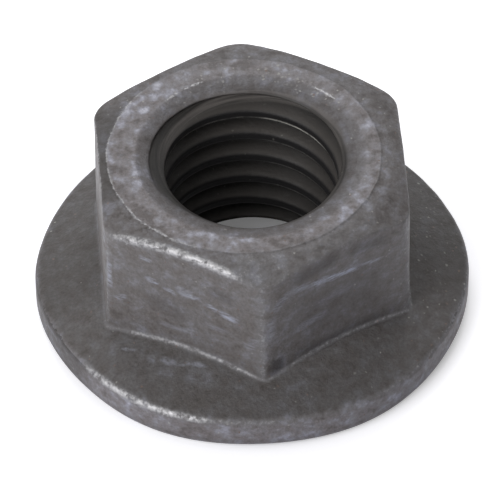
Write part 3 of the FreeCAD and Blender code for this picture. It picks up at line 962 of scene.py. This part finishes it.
def tapped_bore(tree, at, specks, patchy):
    """The bore's colour: dark crests and grooves, and browner flanks that pale from the groove to the crest.

    The dark crests, the dark grooves and the flanks' darkening towards the groove are painted shade. The
    upper crests' lower edges have thin bright lines: the burr that the tap left there, with a painted glint
    on it. The lead-in has tool marks round it, with painted light that makes them paler on the far side. The
    bore is darker towards -X, which is painted shade.
    """
    # Painted shade: the flanks darken towards each groove, and the crests are dark
    flank = add(tree, "ShaderNodeMapRange", {"Value": at.from_groove, "From Min": 0.1 * mm,
                                             "From Max": 0.48 * mm})
    cut = add(tree, "ShaderNodeMix", {"Factor": flank, "A": linear("#201f1e"), "B": linear("#494542")},
              data_type="RGBA")
    crest = add(tree, "ShaderNodeMapRange", {"Value": at.from_groove, "From Min": 0.42 * mm,
                                             "From Max": 0.58 * mm}, interpolation_type="SMOOTHSTEP")
    lead_in = add(tree, "ShaderNodeMapRange", {"Value": at.height, "From Min": lead_in_foot,
                                               "From Max": lead_in_full})
    tool_marks = add(tree, "ShaderNodeVectorMath", [at.place, (0.02, 0.02, 1.0)], operation="MULTIPLY")
    tool_marks = add(tree, "ShaderNodeTexNoise", {"Vector": tool_marks,
                                                  "Scale": 1 / pattern_widths["tool_marks"], "Detail": 2.0})
    tool_marks = add(tree, "ShaderNodeMapRange", {"Value": tool_marks, "From Min": 0.38, "From Max": 0.62,
                                                  "To Min": 0.5, "To Max": 1.8})
    lit_side = add(tree, "ShaderNodeMapRange", {"Value": at.depth, "From Min": 0.0, "From Max": 4.4 * mm,
                                                "To Min": 0.6, "To Max": 2.1})
    tooled = add(tree, "ShaderNodeMath", [tool_marks, lit_side], operation="MULTIPLY")
    tooled = add(tree, "ShaderNodeMix", {"Factor": 1.0, "A": linear("#454240"), "B": tooled},
                 data_type="RGBA", blend_type="MULTIPLY")

    # A painted glint on the burr along the upper crests' lower edges, strongest near glint_azimuth on the top
    # turns
    off_burr = add(tree, "ShaderNodeMath", [at.from_groove, burr_glint_height], operation="SUBTRACT")
    off_burr = add(tree, "ShaderNodeMath", [off_burr], operation="ABSOLUTE")
    burr_glint = add(tree, "ShaderNodeMapRange", {"Value": off_burr, "From Min": 0.11 * mm, "From Max": 0.03 * mm})
    upper = add(tree, "ShaderNodeMath", [at.groove_side, 0.0], operation="GREATER_THAN")
    off_glint = add(tree, "ShaderNodeMath", [at.azimuth, glint_azimuth], operation="SUBTRACT")
    off_glint = add(tree, "ShaderNodeMath", [off_glint], operation="ABSOLUTE")
    glint = add(tree, "ShaderNodeMapRange", {"Value": off_glint, "From Min": 28 * degree,
                                             "From Max": 10 * degree, "To Min": 0.12, "To Max": 1.0})
    high = add(tree, "ShaderNodeMapRange", {"Value": at.height, "From Min": 7.0 * mm, "From Max": 8.2 * mm,
                                            "To Min": 0.15, "To Max": 1.8})
    glint = add(tree, "ShaderNodeMath", [glint, high], operation="MULTIPLY")
    below_lead_in = add(tree, "ShaderNodeMath", [1.0, lead_in], operation="SUBTRACT")
    for factor, clamp in ((upper, False), (patchy, False), (glint, True), (below_lead_in, True)):
        burr_glint = add(tree, "ShaderNodeMath", [burr_glint, factor], operation="MULTIPLY", use_clamp=clamp)

    for factor, source in ((crest, linear("#272627")), (lead_in, tooled), (burr_glint, linear("#dcd9d2")),
                           (specks, linear("#77756f"))):
        cut = add(tree, "ShaderNodeMix", {"Factor": factor, "A": cut, "B": source}, data_type="RGBA")
    # Painted shade: the bore is darker towards -X
    shaded_towards_minus_x = add(tree, "ShaderNodeMapRange", {"Value": at.across, "From Min": -4.6 * mm, "From Max": -1.5 * mm,
                                            "To Min": 0.5, "To Max": 1.0})
    return add(tree, "ShaderNodeMix", {"Factor": 1.0, "A": cut, "B": shaded_towards_minus_x}, data_type="RGBA",
               blend_type="MULTIPLY")


def phosphated_steel():
    """Forged steel with a zinc phosphate coat, tumbled and oiled: matt dark grey, with cloudy paler crystal.

    The coat is a dielectric. The crown, the flats and the rim are paler than the flange; the darkening
    towards the hexagon's foot is painted shade, and the rim's paleness is painted light from the white table.
    Tumbling left scratches, and wore some edges through to bare steel. The bore is cut metal, dark and wet
    with oil, with painted shade in its grooves and towards -X.
    """
    material = bpy.data.materials.new("phosphated_forged_steel")
    material.use_nodes = True
    tree = material.node_tree
    shader = tree.nodes["Principled BSDF"]
    at = read_surface(tree)
    coat, cloudiness = crystal_coat(tree, at)

    # Rubbed and worn edges are ragged, paler where rubbed, and bare where worn far enough. The stretch of the
    # upright corner at -150 degrees is a painted highlight given as wear
    worn_edge = worn_edge_group()
    ragged = add(tree, "ShaderNodeMapRange", {"Value": at.patches, "From Min": 0.3, "From Max": 0.7,
                                              "To Min": -edge_raggedness, "To Max": edge_raggedness})
    to_edge, to_corner = (add(tree, "ShaderNodeMath", [distance, ragged], operation="ADD")
                          for distance in (at.from_edge, at.from_upright))
    wear = add(tree, "ShaderNodeMath", [strongest_edge(tree, worn_edge, at, worn_edges, to_edge),
                                        strongest_edge(tree, worn_edge, at, worn_and_highlit_corners, to_corner)],
               operation="MAXIMUM")
    patchy = add(tree, "ShaderNodeMapRange", {"Value": at.patches, "From Min": 0.35, "From Max": 0.62,
                                              "To Min": 0.3, "To Max": 1.35})
    wear = add(tree, "ShaderNodeMath", [wear, patchy], operation="MULTIPLY")
    bare = add(tree, "ShaderNodeMath", [at.grain, wear], operation="ADD")
    bare = add(tree, "ShaderNodeMapRange", {"Value": bare, "From Min": 0.85, "From Max": 1.5})
    dark_edge = strongest_edge(tree, worn_edge, at, dark_edges, to_edge)

    scratched, stained_and_shaded = flat_and_flange_marks(tree, at)
    specks, rust = dust_and_rust(tree, at, worn_edge)
    smears = add(tree, "ShaderNodeTexNoise", {"Vector": at.waver, "Scale": 1 / pattern_widths["smears"],
                                              "Detail": 6.0, "Roughness": 0.68})
    smears = add(tree, "ShaderNodeMapRange", {"Value": smears, "From Min": 0.5, "From Max": 0.8,
                                              "To Max": 0.7})
    smears = add(tree, "ShaderNodeMath", [smears, cloudiness], operation="MULTIPLY")
    # Some of the stains mixed in here are painted shade
    for factor, code in ((smears, "#a4a4ac"), (stained_and_shaded, "#454142"), (wear, "#9b9b9e"), (dark_edge, "#3c3937"),
                         (scratched, "#c4c8d8"), (rust, "#86726a"), (specks, "#cbc9c4"), (bare, "#cdccce")):
        coat = add(tree, "ShaderNodeMix", {"Factor": factor, "A": coat, "B": linear(code)}, data_type="RGBA")
    in_bore = add(tree, "ShaderNodeMapRange", {"Value": at.profile_place, "From Min": dish_place,
                                               "From Max": bore_place}, interpolation_type="SMOOTHSTEP")
    colour = add(tree, "ShaderNodeMix", {"Factor": in_bore, "A": coat,
                                         "B": tapped_bore(tree, at, specks, patchy)}, data_type="RGBA")

    # The paler crystal is a little smoother. Bare steel shines dully, and only outside the bore
    outside = add(tree, "ShaderNodeMath", [1.0, in_bore], operation="SUBTRACT")
    bare = add(tree, "ShaderNodeMath", [bare, outside], operation="MULTIPLY")
    metallic = add(tree, "ShaderNodeMath", [bare, 0.45], operation="MULTIPLY")
    roughness = add(tree, "ShaderNodeMapRange", {"Value": at.clouds, "To Min": 0.62, "To Max": 0.42})
    roughness = add(tree, "ShaderNodeMix", {"Factor": bare, "A": roughness, "B": 0.45}, data_type="FLOAT")
    bumps = add(tree, "ShaderNodeBump", {"Strength": 0.7, "Distance": grain_depth, "Height": at.grain})
    lumpy = add(tree, "ShaderNodeMath", [outside, 0.55, 0.25], operation="MULTIPLY_ADD")
    bumps = add(tree, "ShaderNodeBump", {"Strength": lumpy, "Distance": patch_depth, "Height": at.patches,
                                         "Normal": bumps})
    for name, node in (("Base Color", colour), ("Metallic", metallic), ("Roughness", roughness),
                       ("Normal", bumps)):
        tree.links.new(first(node), shader.inputs[name])
    shader.inputs["Specular IOR Level"].default_value = 0.3
    return material


def seen_by_eye(tree):
    """1 for what the camera sees, itself, in a reflection or through glass, and 0 for what lights the nut."""
    rays = add(tree, "ShaderNodeLightPath").outputs
    seen = add(tree, "ShaderNodeMath", [rays["Is Camera Ray"], rays["Is Glossy Ray"]], operation="MAXIMUM")
    return add(tree, "ShaderNodeMath", [seen, rays["Is Transmission Ray"]], operation="MAXIMUM")


def make_floor():
    """A plain pale table that glows to white for the camera. Round the nut the glow falls off, which paints a
    soft shadow over the one that the lamps cast, and under the nut a faint glow is painted light seen through
    the bore.
    """
    half = table_size / 2
    mesh = bpy.data.meshes.new("table")
    corners = [(-half, -half, 0), (half, -half, 0), (half, half, 0), (-half, half, 0)]
    mesh.from_pydata(corners, [], [(0, 1, 2, 3)])
    table = bpy.data.objects.new("table", mesh)
    bpy.context.scene.collection.objects.link(table)
    material = bpy.data.materials.new("white_table_paper")
    material.use_nodes = True
    tree = material.node_tree
    shader = tree.nodes["Principled BSDF"]
    shader.inputs["Base Color"].default_value = linear("#e1e1ea")
    shader.inputs["Roughness"].default_value = 0.9
    shader.inputs["Specular IOR Level"].default_value = 0.0
    shader.inputs["Emission Color"].default_value = (1, 1, 1, 1)
    place = add(tree, "ShaderNodeTexCoord").outputs["Object"]
    out = add(tree, "ShaderNodeVectorMath", [place, table_glow_centre], operation="DISTANCE")
    out = add(tree, "ShaderNodeMath", [out, table_glow_end * mm], operation="DIVIDE")
    glow = add(tree, "ShaderNodeValToRGB", [out])
    set_stops(glow, [(radius / table_glow_end, (value, value, value, 1)) for radius, value in table_glow])
    glow = add(tree, "ShaderNodeMath", [seen_by_eye(tree), glow], operation="MULTIPLY")
    tree.links.new(first(glow), shader.inputs["Emission Strength"])
    mesh.materials.append(material)


def make_world():
    """White to the camera and in reflections, and otherwise a faint fill light."""
    world = bpy.data.worlds.new("studio")
    bpy.context.scene.world = world
    world.use_nodes = True
    tree = world.node_tree
    background = tree.nodes["Background"]
    strength = add(tree, "ShaderNodeMapRange", {"Value": seen_by_eye(tree), "To Min": fill_strength,
                                                "To Max": 1.0})
    background.inputs["Color"].default_value = (1, 1, 1, 1)
    tree.links.new(first(strength), background.inputs["Strength"])


def make_soft_box(name, azimuth, elevation, power):
    """A square soft box that faces the nut."""
    lamp = bpy.data.lights.new(name, "AREA")
    lamp.size = soft_box_width
    lamp.energy = power
    box = bpy.data.objects.new(name, lamp)
    bpy.context.scene.collection.objects.link(box)
    towards = Vector((math.cos(azimuth) * math.cos(elevation), math.sin(azimuth) * math.cos(elevation),
                      math.sin(elevation)))
    box.location = towards * soft_box_distance
    box.rotation_mode = "QUATERNION"
    box.rotation_quaternion = towards.to_track_quat("Z", "Y")


def make_camera():
    """The photograph's view, from in front and above, fitted to the nut's outline."""
    camera = bpy.data.cameras.new("camera")
    camera.lens = camera_lens
    camera.sensor_width = camera_sensor
    holder = bpy.data.objects.new("camera", camera)
    bpy.context.scene.collection.objects.link(holder)
    back = Vector((0, -math.cos(camera_elevation), math.sin(camera_elevation)))
    right = Vector((1, 0, 0))
    up = back.cross(right)
    tilted_right = right * math.cos(camera_roll) + up * math.sin(camera_roll)
    tilted_up = up * math.cos(camera_roll) - right * math.sin(camera_roll)
    turn = Matrix.Rotation(-camera_turn, 4, "Z")
    axes = Matrix((tilted_right, tilted_up, back)).transposed().to_4x4()
    place = Matrix.Translation(camera_target + back * camera_distance)
    holder.matrix_world = turn @ place @ axes
    bpy.context.scene.camera = holder


nut = make_nut(phosphated_steel())
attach(nut, "root")
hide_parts("flange_nut")
make_floor()
make_world()
for name, placing in soft_boxes.items():
    make_soft_box(name, *placing)
make_camera()
bpy.context.scene.view_settings.view_transform = "Standard"
